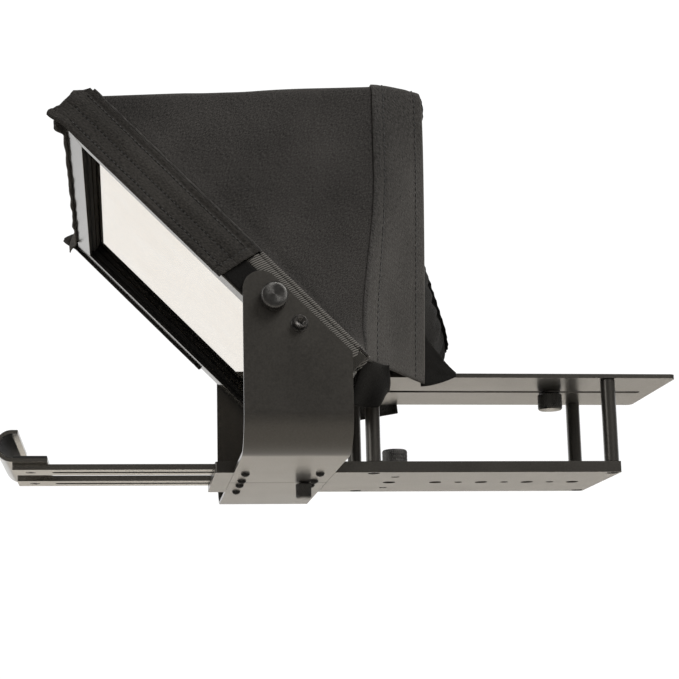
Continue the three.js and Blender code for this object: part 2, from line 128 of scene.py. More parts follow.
def weave_uvs(points):
    """UVs in metres along both directions of a grid of points, so that a weave keeps its scale."""
    rows, cols = points.shape[:2]
    across = np.zeros((rows, cols))
    along = np.zeros((rows, cols))
    across[:, 1:] = np.cumsum(np.linalg.norm(np.diff(points, axis=1), axis=2), axis=1)
    along[1:] = np.cumsum(np.linalg.norm(np.diff(points, axis=0), axis=2), axis=0)
    middle = across[:, cols // 2][:, None]
    return (np.stack([across - middle, along], axis=2) * MM).reshape(-1, 2)


def cloth(name, points, material, thickness=1.0, wrap=False, uvs=None):
    """A sheet of cloth from a grid of points, given its thickness by Solidify."""
    rows, cols = points.shape[:2]
    if uvs is None:
        uvs = weave_uvs(points)
    obj = mesh(name, points.reshape(-1, 3), grid_faces(rows, cols, wrap), material, uvs)
    solidify = obj.modifiers.new("thickness", "SOLIDIFY")
    solidify.thickness = thickness * MM
    solidify.offset = 0
    return obj


def revolve(name, profile, material, segments=64, origin=(0, 0, 0), axis=(0, 0, 1)):
    """A closed solid of revolution. Each profile point is (radius, height), and a radius may be a
    function of the angle and the height. The axis may be any direction."""
    verts = []
    for radius, z in profile:
        for i in range(segments):
            angle = 2 * math.pi * i / segments
            r = radius(angle, z) if callable(radius) else radius
            verts.append(Vector((r * math.cos(angle), r * math.sin(angle), z)))
    faces = grid_faces(len(profile), segments, wrap=True)
    faces.append(tuple(reversed(range(segments))))
    faces.append(tuple(range((len(profile) - 1) * segments, len(profile) * segments)))
    obj = mesh(name, verts, faces, material)
    obj.rotation_mode = "QUATERNION"
    obj.rotation_quaternion = Vector((0, 0, 1)).rotation_difference(Vector(axis))
    obj.location = Vector(origin) * MM
    obj.data.set_sharp_from_angle(angle=SHARP)
    return obj


def tube(name, path, radius, material, sides=10, wrap=False):
    """A tube along a list of points, closed at its ends."""
    path = np.array(path, float)
    verts = []
    count = len(path)
    for i in range(count):
        ahead = path[(i + 1) % count] if wrap or i < count - 1 else path[i]
        behind = path[i - 1] if wrap or i > 0 else path[i]
        along = (ahead - behind) / max(np.linalg.norm(ahead - behind), 1e-9)
        side = np.cross(along, (0.0, 0.0, 1.0) if abs(along[2]) < 0.9 else (1.0, 0.0, 0.0))
        side /= np.linalg.norm(side)
        up = np.cross(side, along)
        r = radius(i) if callable(radius) else radius
        for j in range(sides):
            angle = 2 * math.pi * j / sides
            verts.append(path[i] + r * (math.cos(angle) * side + math.sin(angle) * up))
    faces = grid_faces(count, sides, wrap=True)
    if wrap:
        last = (count - 1) * sides
        faces += [(last + j, last + (j + 1) % sides, (j + 1) % sides, j) for j in range(sides)]
    else:
        faces.append(tuple(range(sides)))
        faces.append(tuple(reversed(range((count - 1) * sides, count * sides))))
    uvs = [(i % sides / sides * 2 * math.pi * MM, i // sides * MM) for i in range(len(verts))]
    return mesh(name, verts, faces, material, uvs)


def stitches(name, path, outward, material, pitch=4.2, length=2.9, width=0.42, lift=0.3):
    """Thread stitches along a line of points: small pulled-in capsules, each lifted off the cloth."""
    path = np.array(path, float)
    steps = np.linalg.norm(np.diff(path, axis=0), axis=1)
    run = np.concatenate([[0], np.cumsum(steps)])
    outward = np.array(outward, float)
    if outward.ndim == 1:
        outward = np.tile(outward, (len(path), 1))
    verts, faces = [], []
    rings, sides = 5, 6
    start = pitch / 2
    while start + length < run[-1]:
        where = [start + length * k / (rings - 1) for k in range(rings)]
        spine = np.array([[np.interp(w, run, path[:, c]) for c in range(3)] for w in where])
        out = np.array([[np.interp(w, run, outward[:, c]) for c in range(3)] for w in where])
        out /= np.linalg.norm(out, axis=1)[:, None]
        along = spine[-1] - spine[0]
        along /= np.linalg.norm(along)
        first = len(verts)
        for k in range(rings):
            arch = math.sin(math.pi * k / (rings - 1))
            centre = spine[k] + out[k] * (lift * arch - 0.1)
            side = np.cross(along, out[k])
            r = width * (0.45 + 0.55 * arch)
            for j in range(sides):
                angle = 2 * math.pi * j / sides
                verts.append(centre + r * (math.cos(angle) * side + math.sin(angle) * out[k]))
        faces += [tuple(first + v for v in f) for f in grid_faces(rings, sides, wrap=True)]
        faces.append(tuple(first + j for j in range(sides)))
        faces.append(tuple(first + (rings - 1) * sides + j for j in reversed(range(sides))))
        start += pitch
    return mesh(name, verts, faces, material)


# ---- materials ----------------------------------------------------------------------------------


class Shader:
    """A material with one Principled shader, and short ways to add nodes to it."""

    def __init__(self, name, **values):
        self.material = bpy.data.materials.new(name)
        self.material.use_nodes = True
        self.nodes = self.material.node_tree.nodes
        self.links = self.material.node_tree.links
        self.bsdf = self.nodes["Principled BSDF"]
        for key, value in values.items():
            self.bsdf.inputs[key.replace("_", " ")].default_value = value

    def add(self, kind, **settings):
        node = self.nodes.new(kind)
        for key, value in settings.items():
            setattr(node, key, value)
        return node

    def link(self, output, target):
        self.links.new(output, target)

    def coordinates(self, kind="Object"):
        return self.add("ShaderNodeTexCoord").outputs[kind]

    def noise(self, where, scale, detail=3.0, roughness=0.55):
        node = self.add("ShaderNodeTexNoise")
        node.inputs["Scale"].default_value = scale
        node.inputs["Detail"].default_value = detail
        node.inputs["Roughness"].default_value = roughness
        self.link(where, node.inputs["Vector"])
        return node.outputs["Fac"]

    def wave(self, where, period, kind, direction, distortion):
        node = self.add("ShaderNodeTexWave", wave_type=kind, wave_profile="SIN")
        setattr(node, f"{kind.lower()}_direction", direction)
        node.inputs["Scale"].default_value = 2 * math.pi / (20 * period)
        node.inputs["Distortion"].default_value = distortion
        node.inputs["Detail"].default_value = 1
        self.link(where, node.inputs["Vector"])
        return node.outputs["Fac"]

    def mapped(self, where, **values):
        node = self.add("ShaderNodeMapping")
        for key, value in values.items():
            node.inputs[key].default_value = value
        self.link(where, node.inputs["Vector"])
        return node.outputs["Vector"]

    def math(self, operation, a, b):
        node = self.add("ShaderNodeMath", operation=operation)
        for socket, value in zip(node.inputs, (a, b)):
            if isinstance(value, (int, float)):
                socket.default_value = value
            else:
                self.link(value, socket)
        return node.outputs[0]

    def total(self, a, share_a, b, share_b):
        """Two values added, each with its share."""
        return self.math("ADD", self.math("MULTIPLY", a, share_a), self.math("MULTIPLY", b, share_b))

    def ranged(self, value, low, high, to_low, to_high):
        node = self.add("ShaderNodeMapRange")
        limits = {"From Min": low, "From Max": high, "To Min": to_low, "To Max": to_high}
        for key, number in limits.items():
            node.inputs[key].default_value = number
        self.link(value, node.inputs["Value"])
        return node.outputs["Result"]

    def colours(self, factor, dark, light, low=0.0, high=1.0):
        node = self.add("ShaderNodeValToRGB")
        node.color_ramp.elements[0].position = low
        node.color_ramp.elements[1].position = high
        node.color_ramp.elements[0].color = (*dark, 1)
        node.color_ramp.elements[1].color = (*light, 1)
        self.link(factor, node.inputs["Fac"])
        return node.outputs["Color"]

    def rub(self, factor, base, worn):
        """The base colour, going over to the worn one by the factor."""
        node = self.add("ShaderNodeMix", data_type="RGBA")
        self.link(factor, node.inputs[0])
        self.link(base, node.inputs[6])
        node.inputs[7].default_value = (*worn, 1)
        return node.outputs[2]

    def bump(self, height, strength, distance_mm):
        node = self.add("ShaderNodeBump")
        node.inputs["Strength"].default_value = strength
        node.inputs["Distance"].default_value = distance_mm * MM
        self.link(height, node.inputs["Height"])
        return node.outputs["Normal"]

    def worn_edges(self, radius_mm):
        """1 near an edge and 0 away from it."""
        bevel = self.add("ShaderNodeBevel", samples=4)
        bevel.inputs["Radius"].default_value = radius_mm * MM
        geometry = self.add("ShaderNodeNewGeometry")
        dot = self.add("ShaderNodeVectorMath", operation="DOT_PRODUCT")
        self.link(bevel.outputs["Normal"], dot.inputs[0])
        self.link(geometry.outputs["Normal"], dot.inputs[1])
        return self.ranged(dot.outputs["Value"], 0.995, 0.9, 0.0, 1.0)

    def set(self, socket, output):
        self.link(output, self.bsdf.inputs[socket])


def film(shader, ior, roughness):
    """The clear sealed film of an anodised surface, which mirrors the room at grazing angles."""
    shader.bsdf.inputs["IOR"].default_value = ior
    shader.bsdf.inputs["Specular Tint"].default_value = (1.0, 0.94, 0.84, 1)
    shader.bsdf.inputs["Coat Weight"].default_value = 0.35
    shader.bsdf.inputs["Coat IOR"].default_value = 1.5
    shader.bsdf.inputs["Coat Roughness"].default_value = roughness


def anodised_plate(name, dark, light, ior, film_rough):
    """Bead-blasted, anodised aluminium: a fine speckle, faint smudges and edges worn a little paler."""
    s = Shader(name, Metallic=0.0)
    film(s, ior, film_rough)
    where = s.coordinates()
    speckle = s.noise(where, 900, 2)
    smudge = s.noise(where, 22, 4)
    patch = s.total(speckle, 0.6, smudge, 0.4)
    base = s.colours(patch, dark, light, 0.35, 0.65)
    uneven = s.ranged(s.noise(where, 160, 3), 0.45, 0.65, 0.0, 0.45)
    rubbed = s.math("MULTIPLY", s.worn_edges(0.5), uneven)
    s.set("Base Color", s.rub(rubbed, base, (0.10, 0.097, 0.093)))
    s.set("Roughness", s.ranged(patch, 0.3, 0.7, film_rough + 0.08, film_rough + 0.16))
    s.set("Normal", s.bump(speckle, 0.12, 0.02))
    return s.material


def extruded_rail(name):
    """Extruded aluminium: drawn lines along the rail under a satin black film."""
    s = Shader(name, Metallic=0.0)
    film(s, 2.0, 0.12)
    where = s.coordinates()
    along = s.mapped(where, Rotation=(math.radians(45), 0, 0), Scale=(1.0, 1.0, 0.03))
    drawn = s.noise(along, 900, 3)
    both = s.total(drawn, 0.6, s.noise(where, 30, 3), 0.4)
    base = s.colours(both, (0.010, 0.0097, 0.009), (0.024, 0.023, 0.021), 0.35, 0.65)
    s.set("Base Color", s.rub(s.worn_edges(0.4), base, (0.14, 0.135, 0.13)))
    s.set("Roughness", s.ranged(both, 0.3, 0.7, 0.12, 0.22))
    s.set("Normal", s.bump(drawn, 0.12, 0.02))
    return s.material


def black_steel(name, dark=(0.045, 0.043, 0.042), light=(0.11, 0.105, 0.10)):
    """Black oxide screws: a dark speckled finish, rubbed bright on the rims."""
    s = Shader(name, Metallic=0.85)
    where = s.coordinates()
    grime = s.noise(where, 400, 3)
    base = s.colours(grime, dark, light, 0.35, 0.65)
    s.set("Base Color", s.rub(s.worn_edges(0.3), base, (0.30, 0.28, 0.27)))
    s.set("Roughness", s.ranged(grime, 0.3, 0.7, 0.24, 0.42))
    s.set("Normal", s.bump(grime, 0.2, 0.03))
    return s.material


def turned_knob(name, dark=(0.05, 0.049, 0.048), light=(0.15, 0.147, 0.142)):
    """A lathe-turned knob: fine rings on the end face that spread the highlight into wedges."""
    s = Shader(name, Metallic=0.9, Anisotropic=0.75)
    where = s.coordinates()
    rings = s.wave(where, 0.00045, "RINGS", "Z", 0.4)
    grime = s.noise(where, 300, 3)
    both = s.total(rings, 0.5, grime, 0.5)
    base = s.colours(both, dark, light, 0.25, 0.75)
    s.set("Base Color", s.rub(s.worn_edges(0.3), base, (0.34, 0.33, 0.32)))
    s.set("Roughness", s.ranged(grime, 0.3, 0.7, 0.26, 0.38))
    s.set("Normal", s.bump(rings, 0.3, 0.02))
    tangent = s.add("ShaderNodeTangent", direction_type="RADIAL", axis="Z")
    s.set("Tangent", tangent.outputs["Tangent"])
    return s.material


def twill(name, dark, light, angle=45.0, sheen=0.16, thread_mm=0.46):
    """Black twill: slanted threads of random length over a finer cross thread, with lint and fading."""
    s = Shader(name, Roughness=0.88, Sheen_Weight=sheen, Sheen_Roughness=0.5)
    s.bsdf.inputs["Sheen Tint"].default_value = (0.80, 0.76, 0.70, 1)
    s.bsdf.inputs["Specular IOR Level"].default_value = 0.2
    uv = s.coordinates("UV")
    threads = []
    for turn, thick, length in ((angle, thread_mm, 4.5), (angle - 66, thread_mm * 0.8, 2.2)):
        turned = s.mapped(uv, Rotation=(0, 0, math.radians(turn)))
        stretched = s.mapped(turned, Scale=(1.0 / thick, 1.0 / (thick * length), 1.0))
        threads.append(s.noise(stretched, 1000, 1))
    lint = s.noise(uv, 1300, 2)
    fading = s.noise(s.coordinates(), 14, 3)
    weave = s.total(threads[0], 0.65, threads[1], 0.35)
    shade = s.total(weave, 0.50, lint, 0.32)
    shade = s.math("ADD", shade, s.math("MULTIPLY", fading, 0.18))
    s.set("Base Color", s.colours(shade, dark, light, 0.40, 0.62))
    height = s.math("ADD", weave, s.math("MULTIPLY", lint, 0.4))
    s.set("Normal", s.bump(height, 1.0, 0.5))
    return s.material


def ribbed_elastic(name):
    """Knitted elastic: the rib tops are painted pale as a highlight and the valleys painted dark as
    shade, in step with the ribs of the mesh.
    """
    s = Shader(name, Roughness=0.8, Sheen_Weight=0.3, Sheen_Roughness=0.4)
    s.bsdf.inputs["Sheen Tint"].default_value = (0.85, 0.82, 0.78, 1)
    uv = s.coordinates("UV")
    crest = s.mapped(uv, Location=(0, RIB * MM / 2, 0))
    ribs = s.wave(crest, RIB * MM, "BANDS", "Y", 0.5)
    lint = s.noise(uv, 1300, 2)
    both = s.total(ribs, 0.75, lint, 0.25)
    # Painted highlight and shade: pale on the rib crests, near-black in the valleys between them.
    s.set("Base Color", s.colours(both, (0.006, 0.0058, 0.0055), (0.19, 0.18, 0.165), 0.35, 0.9))
    s.set("Normal", s.bump(lint, 0.6, 0.18))
    return s.material


def thread(name):
    s = Shader(name, Roughness=0.5, Sheen_Weight=0.3)
    twist = s.noise(s.coordinates(), 1800, 2)
    s.set("Base Color", s.colours(twist, (0.0025, 0.0025, 0.0025), (0.012, 0.0115, 0.011), 0.3, 0.7))
    s.set("Normal", s.bump(twist, 0.4, 0.08))
    return s.material


def rubber_sheet(name):
    s = Shader(name)
    grain = s.noise(s.coordinates(), 700, 4)
    s.set("Base Color", s.colours(grain, (0.008, 0.008, 0.008), (0.022, 0.021, 0.020), 0.35, 0.65))
    s.set("Roughness", s.ranged(grain, 0.3, 0.7, 0.62, 0.82))
    s.set("Normal", s.bump(grain, 0.5, 0.12))
    return s.material


def half_silvered_glass(name):
    """Beam-splitter glass: part mirror, part clear pane, with faint cleaning marks."""
    s = Shader(name, Metallic=0.72, IOR=1.5)
    s.bsdf.inputs["Transmission Weight"].default_value = 1.0
    where = s.coordinates()
    marks = s.noise(where, 26, 5, 0.6)
    s.set("Base Color", s.colours(marks, (0.92, 0.85, 0.75), (0.96, 0.90, 0.81), 0.3, 0.7))
    s.set("Roughness", s.ranged(marks, 0.45, 0.75, 0.005, 0.02))
    return s.material


PLATE = anodised_plate("anodised_plate", (0.011, 0.0105, 0.010), (0.026, 0.0245, 0.023), 1.7, 0.20)
BARS = anodised_plate("anodised_bar", (0.010, 0.0096, 0.009), (0.020, 0.019, 0.018), 2.7, 0.10)
RAILS = extruded_rail("rail_finish")
STEEL = black_steel("black_oxide")
DULL_STEEL = black_steel("dull_black_oxide", (0.008, 0.008, 0.008), (0.02, 0.0195, 0.019))
KNOB = turned_knob("turned_knob")
BARE_KNOB = turned_knob("bare_knob_face", (0.30, 0.29, 0.27), (0.52, 0.50, 0.47))
CLOTH = twill("hood_twill", (0.0045, 0.0043, 0.0042), (0.066, 0.062, 0.0595))
CLOTH_BAND = twill("hood_band_twill", (0.0045, 0.0043, 0.0043), (0.084, 0.0805, 0.078), -45.0, 0.26, 0.6)
CLOTH_FLAP = twill("flap_twill", (0.005, 0.0047, 0.0044), (0.058, 0.054, 0.050), 20.0, 0.2, 0.55)
CLOTH_SKIRT = twill("skirt_cloth", (0.004, 0.0038, 0.0036), (0.013, 0.0125, 0.012), 30.0, 0.06)
ELASTIC = ribbed_elastic("ribbed_elastic")
THREAD = thread("thread")
RUBBER = rubber_sheet("rubber")
GLASS = half_silvered_glass("beam_splitter")
FLOCK = twill("black_flock", (0.003, 0.0029, 0.0028), (0.009, 0.0086, 0.008), 10.0, 0.02)

# ---- CAD nodes that stay ------------------------------------------------------------------------


def rounded_look():
    """Geometry nodes that join the facets and shade them smooth up to an angle."""
    tree = bpy.data.node_groups.new("smooth_by_angle", "GeometryNodeTree")
    tree.interface.new_socket("Geometry", in_out="INPUT", socket_type="NodeSocketGeometry")
    tree.interface.new_socket("Geometry", in_out="OUTPUT", socket_type="NodeSocketGeometry")
    start = tree.nodes.new("NodeGroupInput")
    end = tree.nodes.new("NodeGroupOutput")
    merge = tree.nodes.new("GeometryNodeMergeByDistance")
    merge.inputs["Distance"].default_value = 0.002 * MM
    faces = tree.nodes.new("GeometryNodeSetShadeSmooth")
    edges = tree.nodes.new("GeometryNodeSetShadeSmooth")
    edges.domain = "EDGE"
    edges.inputs["Shade Smooth"].default_value = False
    angle = tree.nodes.new("GeometryNodeInputMeshEdgeAngle")
    compare = tree.nodes.new("FunctionNodeCompare")
    compare.operation = "GREATER_THAN"
    compare.inputs[1].default_value = SHARP
    tree.links.new(angle.outputs["Unsigned Angle"], compare.inputs[0])
    tree.links.new(start.outputs[0], merge.inputs["Geometry"])
    tree.links.new(merge.outputs["Geometry"], faces.inputs["Geometry"])
    tree.links.new(faces.outputs["Geometry"], edges.inputs["Geometry"])
    tree.links.new(compare.outputs["Result"], edges.inputs["Selection"])
    tree.links.new(edges.outputs["Geometry"], end.inputs[0])
    return tree


ROUNDED = rounded_look()


def dress(node, material, bevel_mm):
    """A CAD node keeps its shape: it gets its finish, smooth round faces and slightly broken edges."""
    obj = frame["nodes"][node]
    obj.data.materials.clear()
    obj.data.materials.append(material)
    obj.data.polygons.foreach_set("material_index", np.zeros(len(obj.data.polygons), np.int32))
    obj.modifiers.new("smooth_by_angle", "NODES").node_group = ROUNDED
    if bevel_mm:
        bevel = obj.modifiers.new("broken_edges", "BEVEL")
        bevel.width = bevel_mm * MM
        bevel.segments = 2
        bevel.limit_method = "ANGLE"
        bevel.angle_limit = SHARP
        bevel.harden_normals = True


FINISHES = {
    "anodised": PLATE, "rails": RAILS, "screws": STEEL, "knobs": KNOB,
    "fabric": CLOTH, "webbing": CLOTH_FLAP, "rubber": RUBBER, "glass": GLASS,
}
for part in frame["record"]["subparts"]:
    slot = part["material_slot"]
    dress(part["node"], FINISHES[slot], 0.0 if slot == "glass" else 0.3)
for name in ("tray_bar_left", "tray_bar_right", "front_hook"):
    frame["nodes"][name].data.materials[0] = BARS


def inset(point):
    """How far a point of the frame lies in from the frame's outer edge."""
    x, y, z = np.array(point) / MM
    u = ((y - FRAME_Y) - (z - FRAME_Z)) / ROOT2
    return min(u, FRAME_LEN - u, FRAME_HALF - abs(x))


LIP_INSET, STEP_INSET = 7.0, 11.5


def blacken_steps(node):
    """The rails' inner faces are flocked black, to keep stray light off the glass."""
    obj = frame["nodes"][node]
    obj.data.materials.append(FLOCK)
    for polygon in obj.data.polygons:
        ends = [inset(obj.matrix_world @ obj.data.vertices[v].co) for v in polygon.vertices]
        if min(ends) > LIP_INSET and sum(ends) / len(ends) > STEP_INSET:
            polygon.material_index = 1


for name in ("frame_rail_left", "frame_rail_right", "frame_rail_top", "frame_rail_bottom"):
    blacken_steps(name)

# ---- knobs and screws ---------------------------------------------------------------------------


def knurl(radius, depth, teeth, slant_mm):
    """A radius that makes a diamond knurl."""
    def at(angle, z):
        turn = angle * teeth / (2 * math.pi)
        one = abs((turn + z / slant_mm) % 1 - 0.5) * 2
        two = abs((turn - z / slant_mm) % 1 - 0.5) * 2
        return radius - depth * max(one, two)
    return at


def hexagon(across_mm):
    def at(angle, _height):
        return across_mm / 2 / math.cos((angle + math.pi / 6) % (math.pi / 3) - math.pi / 6)
    return at


KNOB_SEGMENTS, KNURL_ROWS, FACE_RINGS = 190, 18, 7


def knob(node, radius, height, stud_radius, stud_length, axis, body, face=None):
    """A thumbscrew that stands for a CAD knob: knurled side, chamfers, a dished end face and a stud."""
    low, high = box_mm(node)
    centre = (low + high) / 2
    axis = np.array(axis, float)
    k = int(np.argmax(np.abs(axis)))
    outer = high[k] if axis[k] > 0 else low[k]
    origin = centre.copy()
    origin[k] = outer - axis[k] * height
    rim = knurl(radius, 0.42, 38 if radius > 7 else 26, 2.6)
    profile = [(0.3, -stud_length), (stud_radius - 0.5, -stud_length), (stud_radius, -stud_length + 0.5)]
    threads = max(4, int(stud_length / 0.5))
    for i in range(threads):
        z = -stud_length + 0.6 + (stud_length - 1.0) * i / (threads - 1)
        profile.append((stud_radius - (0.22 if i % 2 else 0.0), z))
    profile += [(stud_radius, 0.0), (radius - 2.2, 0.0), (radius - 1.1, 0.25)]
    for i in range(KNURL_ROWS):
        profile.append((rim, 1.0 + (height - 2.0) * i / (KNURL_ROWS - 1)))
    profile += [(radius - 0.35, height - 0.8), (radius - 0.85, height - 0.15), (radius - 1.2, height)]
    profile += [(radius * 0.6, height - 0.03), (radius * 0.4, height - 0.05)]
    profile += [(radius * 0.2, height - 0.06), (0.8, height - 0.06), (0.1, height - 0.06)]
    obj = revolve(node + "_knurled", profile, KNOB, KNOB_SEGMENTS, origin, tuple(axis))
    if face:
        obj.data.materials.append(face)
        first = len(profile) - FACE_RINGS
        for polygon in obj.data.polygons:
            if min(polygon.vertices) // KNOB_SEGMENTS >= first:
                polygon.material_index = 1
    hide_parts(node)
    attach(obj, body)


for side, sign in (("left", -1), ("right", 1)):
    knob(f"lock_knob_{side}", 8.9, 10.0, 3.0, 3.1, (sign, 0, 0), f"lock_knob_{side}")
    knob(f"tray_knob_{side}", 9.0, 11.0, 2.8, 7.8, (0, 0, 1), f"tray_knob_{side}")
knob("seam_knob", 5.8, 11.0, 2.5, 5.6, (0, 0, -1), "seam_knob")
knob("camera_knob", 9.0, 12.0, 3.1, 10.4, (0, 0, -1), "camera_knob", BARE_KNOB)


def cap_screw(node, sign):
    """The socket-head pivot screw: knurled head with a chamfer and a hexagon socket, plain shank."""
    low, high = box_mm(node)
    centre = (low + high) / 2
    length = high[0] - low[0]
    head = 4.8
    rim = knurl(4.25, 0.14, 40, 400.0)
    socket = hexagon(4.0)
    profile = [(0.3, 0.0), (2.0, 0.0), (2.5, 0.6), (2.5, length - head), (3.9, length - head)]
    profile += [(4.1, length - head + 0.2), (rim, length - head + 0.3), (rim, length - 0.55)]
    profile += [(4.15, length - 0.45), (3.75, length), (2.75, length), (socket, length - 0.35)]
    profile += [(socket, length - 2.7), (1.6, length - 2.9), (0.2, length - 3.5)]
    origin = (low[0] if sign > 0 else high[0], centre[1], centre[2])
    obj = revolve(node + "_socket_head", profile, STEEL, 120, origin, (sign, 0, 0))
    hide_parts(node)
    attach(obj, "frame")


def button_screw(node):
    """A flange screw, head down: a low dome with a hexagon socket."""
    low, high = box_mm(node)
    centre = (low + high) / 2
    length, head, radius = high[2] - low[2], 2.15, 3.1
    socket = hexagon(2.1)
    profile = [(0.3, 0.0), (1.1, 0.0), (1.5, 0.5), (1.5, length - head), (radius, length - head)]
    for i in range(7):
        angle = math.radians(12 + 62 * i / 6)
        rise = head * math.sin(angle) / math.sin(math.radians(74))
        profile.append((radius * math.cos(angle) ** 0.8, length - head + rise))
    profile += [(socket, length - 0.15), (socket, length - 1.3), (0.2, length - 1.6)]
    origin = (centre[0], centre[1], high[2])
    obj = revolve(node + "_button", profile, DULL_STEEL, 60, origin, (0, 0, -1))
    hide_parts(node)
    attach(obj, "base")


cap_screw("pivot_screw_left", -1)
cap_screw("pivot_screw_right", 1)
for i in range(8):
    button_screw(f"flange_screw_{i + 1}")

# ---- hood ---------------------------------------------------------------------------------------
EDGE_X = 145.4            # canopy where it leaves the frame
SEAM_TOP_X, SEAM_FOOT_X = 133.0, 131.0
SEAM_TOP_Y, SEAM_FOOT_Y = -59.2, -69.4
HOOD_TOP, HOOD_FOOT = 252.3, 62.4
REAR_TOP_X, REAR_FOOT_X = 120.0, 56.5
REAR_TOP_Y, REAR_FOOT_Y = -26.0, -17.0
SIDE_ROWS, TOP_ROWS = 76, 64


def soft(obj):
    """Hood cloth goes with the frame."""
    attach(obj, "frame")
    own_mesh(obj)
    return obj


def hoop(side_point, top_point):
    """A line up the right side of the hood, over the top and down the left side. side_point(t) runs
    from foot to top and top_point(s) from right (1) to left (-1)."""
    points = [side_point(i / SIDE_ROWS) for i in range(SIDE_ROWS)]
    points += [top_point(1 - 2 * i / TOP_ROWS) for i in range(TOP_ROWS + 1)]
    mirror = [side_point(i / SIDE_ROWS) * np.array([-1, 1, 1]) for i in reversed(range(SIDE_ROWS))]
    return np.array(points + mirror)


def frame_line():
    top = rail(-1.5, FRAME_DEEP + 1.2)
    return hoop(
        lambda t: rail(FRAME_LEN - (FRAME_LEN + 1.5) * t, FRAME_DEEP + 1.2, EDGE_X),
        lambda s: np.array([EDGE_X * s, top[1], top[2]]),
    )


def seam_line(lift=0.0, forward=0.0):
    def side(t):
        z = mix(HOOD_FOOT, HOOD_TOP, t)
        y = mix(SEAM_FOOT_Y, SEAM_TOP_Y, smooth((z - 78) / 112)) - forward
        return np.array([mix(SEAM_FOOT_X, SEAM_TOP_X, t) + lift, y, z])

    def top(s):
        return np.array([(SEAM_TOP_X + lift) * s, SEAM_TOP_Y - forward, HOOD_TOP + lift])
    return hoop(side, top)


def crest_line(lift=0.0):
    def side(t):
        x = mix(106.0, 132.6, smooth(t * 1.15) ** 0.8) + lift
        return np.array([x, mix(-52.5, -49.0, t), mix(HOOD_FOOT, HOOD_TOP + 1.4, t)])

    def top(s):
        return np.array([(132.6 + lift) * s, -49.0, HOOD_TOP + 1.4 + lift])
    return hoop(side, top)


def rear_line(lift=0.0):
    def side(t):
        x = mix(REAR_FOOT_X, REAR_TOP_X, t) + lift
        y = mix(REAR_TOP_Y, REAR_FOOT_Y, (1 - t) ** 0.6)
        return np.array([x, y, mix(HOOD_FOOT - 1.0, HOOD_TOP - 0.2, t)])

    def top(s):
        return np.array([(REAR_TOP_X + lift) * s, REAR_TOP_Y, HOOD_TOP - 0.2 + lift])
    return hoop(side, top)


def round_corners(points, passes):
    """Softens the folds between the sides and the top, across the hoops only."""
    for corner in (SIDE_ROWS, SIDE_ROWS + TOP_ROWS):
        lo, hi = corner - 5, corner + 6
        for _ in range(passes):
            inner = points[:, lo:hi].copy()
            points[:, lo + 1:hi - 1] = 0.5 * inner[:, 1:-1] + 0.25 * (inner[:, :-2] + inner[:, 2:])
    return points


def crumple(point, scale, amount, seed):
    return amount * noise.noise(Vector((point[0] / scale + seed, point[1] / scale, point[2] / scale)))


def outward_of(column):
    """Which way the cloth faces at a column of the hoops: to the sides or up."""
    if column < SIDE_ROWS:
        return np.array([1.0, 0, 0])
    if column > SIDE_ROWS + TOP_ROWS:
        return np.array([-1.0, 0, 0])
    return np.array([0, 0, 1.0])


def canopy_points():
    front, back = frame_line(), seam_line()
    rows = 60
    points = np.array([mix(front, back, i / rows) for i in range(rows + 1)])
    for i in range(rows + 1):
        b = i / rows
        ease = math.sin(math.pi * b) ** 0.7 if 0 < b < 1 else 0.0
        for j in range(points.shape[1]):
            out = outward_of(j)
            if out[2] > 0:
                s = (j - SIDE_ROWS) / TOP_ROWS
                across = math.sin(math.pi * min(max(s, 0), 1))
                swell = -3.2 * across * math.sin(math.pi * b)
            else:
                t = min(j, points.shape[1] - 1 - j) / SIDE_ROWS
                swell = 2.2 * math.sin(math.pi * b) * math.sin(math.pi * min(t, 1)) ** 0.6
                swell -= 1.3 * ridge(b, 0.10, 0.07) * math.sin(math.pi * t)
            p = points[i, j]
            swell += ease * (crumple(p, 62, 1.5, 3) + crumple(p, 21, 0.45, 9))
            points[i, j] = p + out * swell
    return round_corners(points, 5)


def band_points():
    lift = 1.5
    start, crest, end = seam_line(lift), crest_line(lift), rear_line(lift * 0.7)
    tucked, folded = seam_line(0.2, -0.6), seam_line(lift, 0.8)
    rows = [tucked, seam_line(0.6, 0.7), folded]
    count = 34
    for i in range(1, count + 1):
        c = i / count
        rows.append((1 - c) ** 2 * start + 2 * c * (1 - c) * crest + c * c * end)
    rows += [rear_line(lift * 0.2) + np.array([0, 0.5, 0]), rear_line(-0.8) + np.array([0, -0.4, 0])]
    points = np.array(rows)
    for i in range(3, points.shape[0] - 2):
        c = (i - 2) / count
        for j in range(points.shape[1]):
            p = points[i, j]
            amount = crumple(p, 44, 1.5, 21) * math.sin(math.pi * min(c * 1.2, 1))
            amount += crumple(p, 15, 0.35, 5)
            hem = 0.5 * ridge(c, 0.26, 0.05) + 0.4 * ridge(c, 0.86, 0.05)
            points[i, j] = p + outward_of(j) * (amount - hem)
    return round_corners(points, 5)


def surface_line(points, row):
    """A line along a grid row with its outward directions, from the grid's own shape."""
    low, high = max(row - 1, 0), min(row + 1, points.shape[0] - 1)
    line = points[row]
    along = np.gradient(line, axis=0)
    over = points[high] - points[low]
    out = np.cross(along, over)
    out /= np.maximum(np.linalg.norm(out, axis=1), 1e-9)[:, None]
    flip = np.array([np.dot(out[j], outward_of(j)) < 0 for j in range(len(out))])
    out[flip] *= -1
    return line + out * 0.55, out


